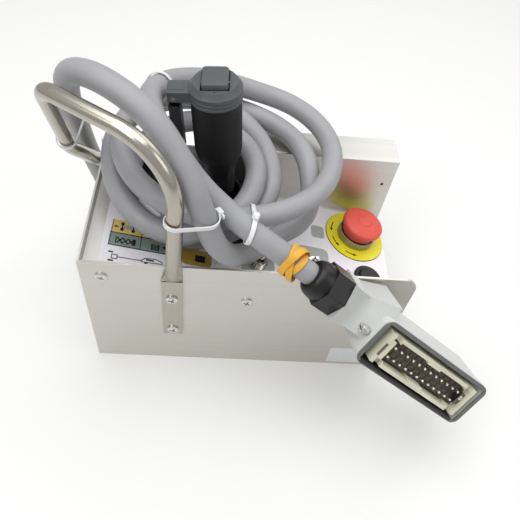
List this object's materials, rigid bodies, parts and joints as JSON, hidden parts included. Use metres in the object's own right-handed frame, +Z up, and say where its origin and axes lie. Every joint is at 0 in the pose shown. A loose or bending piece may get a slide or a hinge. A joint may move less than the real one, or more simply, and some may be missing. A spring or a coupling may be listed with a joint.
{
  "type": "scissor lift control box",
  "caption": "Stainless platform control box with sloping panel, stop button, joystick, toggles, carry handle and a coiled cable ending in a rectangular multi-pin connector.",
  "frame": {"origin": "middle of the box's base, on the surface it stands on", "axes": "+X from the front wall to the operator's end, +Y from the near side plate to the rear channel, +Z up"},
  "size_m": [0.3577, 0.2716, 0.2855],
  "materials": {
    "stainless": "brushed stainless sheet",
    "satin_tube": "satin stainless tube",
    "legend": "printed polycarbonate sheet",
    "stop_yellow": "satin",
    "stop_red": "satin",
    "bright_metal": "plated",
    "silver_pin": "silver plated",
    "black_plastic": "fine texture",
    "horn_black": "satin",
    "grey_plastic": "fine texture",
    "boot_rubber": "matt",
    "hood_paint": "grey powder coat",
    "gasket": "matt",
    "insert_cream": "glass filled",
    "cable_grey": "smooth sheath",
    "tie_nylon": "natural nylon",
    "band_orange": "smooth",
    "board_green": "solder mask"
  },
  "bodies": {
    "box": {"base_tray": "stainless", "near_side_plate": "stainless", "far_side_plate": "stainless", "rear_channel": "stainless", "control_panel": "stainless", "carry_handle": "satin_tube", "legend_overlay": "legend", "estop_legend_plate": "stop_yellow", "estop_housing": "bright_metal", "toggle_nut_low": "bright_metal", "toggle_nut_high": "bright_metal", "panel_screws": "bright_metal", "handle_screws": "bright_metal", "handle_nuts": "bright_metal", "locking_pegs": "bright_metal", "pivot_pin": "bright_metal", "contact_pins": "silver_pin", "estop_locknut": "black_plastic", "estop_contact_block": "black_plastic", "toggle_body_low": "black_plastic", "toggle_body_high": "black_plastic", "horn_housing": "black_plastic", "horn_locknut": "black_plastic", "alarm_sounder": "black_plastic", "joystick_base": "black_plastic", "joystick_housing": "black_plastic", "box_gland_body": "black_plastic", "box_gland_nut": "black_plastic", "box_gland_locknut": "black_plastic", "hood_gland_body": "black_plastic", "hood_gland_nut": "black_plastic", "board_posts": "black_plastic", "joystick_boot": "boot_rubber", "connector_hood": "hood_paint", "hood_gasket": "gasket", "connector_insert": "insert_cream", "insert_frame": "insert_cream", "cable": "cable_grey", "cable_ties": "tie_nylon", "rubber_band": "band_orange", "circuit_board": "board_green"},
    "stick": {"joystick_shaft": "bright_metal", "joystick_grip": "black_plastic", "joystick_cap": "grey_plastic", "rocker_pin": "bright_metal", "trigger_pin": "bright_metal"},
    "rocker": {"steer_rocker": "grey_plastic"},
    "trigger": {"enable_trigger": "black_plastic"},
    "stop_stem": {"estop_stem": "bright_metal"},
    "stop_button": {"estop_button": "stop_red"},
    "toggle_left": {"toggle_lever_low": "bright_metal"},
    "toggle_right": {"toggle_lever_high": "bright_metal"},
    "horn": {"horn_cap": "horn_black"}
  },
  "joints": [
    {"name": "joystick_tilt", "type": "hinge", "parent": "box", "child": "stick", "pos_m": [-0.02445, 0.007, 0.10374], "axis": [0, 1, 0], "range_deg": [-1, 4], "stiffness_Nm_per_rad": 4},
    {"name": "steer_rocker", "type": "hinge", "parent": "stick", "child": "rocker", "pos_m": [-0.03781, 0.007, 0.25636], "axis": [0.9962, 0, 0.0872], "range_deg": [-8, 8], "stiffness_Nm_per_rad": 0.06},
    {"name": "enable_trigger", "type": "hinge", "parent": "stick", "child": "trigger", "pos_m": [-0.06768, 0.007, 0.24501], "axis": [0, -1, 0], "range_deg": [0, 8], "stiffness_Nm_per_rad": 0.15},
    {"name": "estop_press", "type": "slide", "parent": "box", "child": "stop_stem", "axis": [-0.2004, 0, -0.9797], "range_m": [0, 0.0045], "stiffness_N_per_m": 1500},
    {"name": "estop_twist", "type": "hinge", "parent": "stop_stem", "child": "stop_button", "pos_m": [0.1059, 0.0142, 0.08882], "axis": [0.2004, 0, 0.9797], "range_deg": [0, 45], "stiffness_Nm_per_rad": 0.05},
    {"name": "toggle_left", "type": "hinge", "parent": "box", "child": "toggle_left", "pos_m": [0.0088, -0.042, 0.11277], "axis": [0, 1, 0], "range_deg": [-12, 12], "stiffness_Nm_per_rad": 0.05},
    {"name": "toggle_right", "type": "hinge", "parent": "box", "child": "toggle_right", "pos_m": [0.0599, -0.0326, 0.10231], "axis": [0, 1, 0], "range_deg": [-12, 12], "stiffness_Nm_per_rad": 0.05},
    {"name": "horn_press", "type": "slide", "parent": "box", "child": "horn", "axis": [-0.2004, 0, -0.9797], "range_m": [0, 0.003], "stiffness_N_per_m": 600}
  ]
}
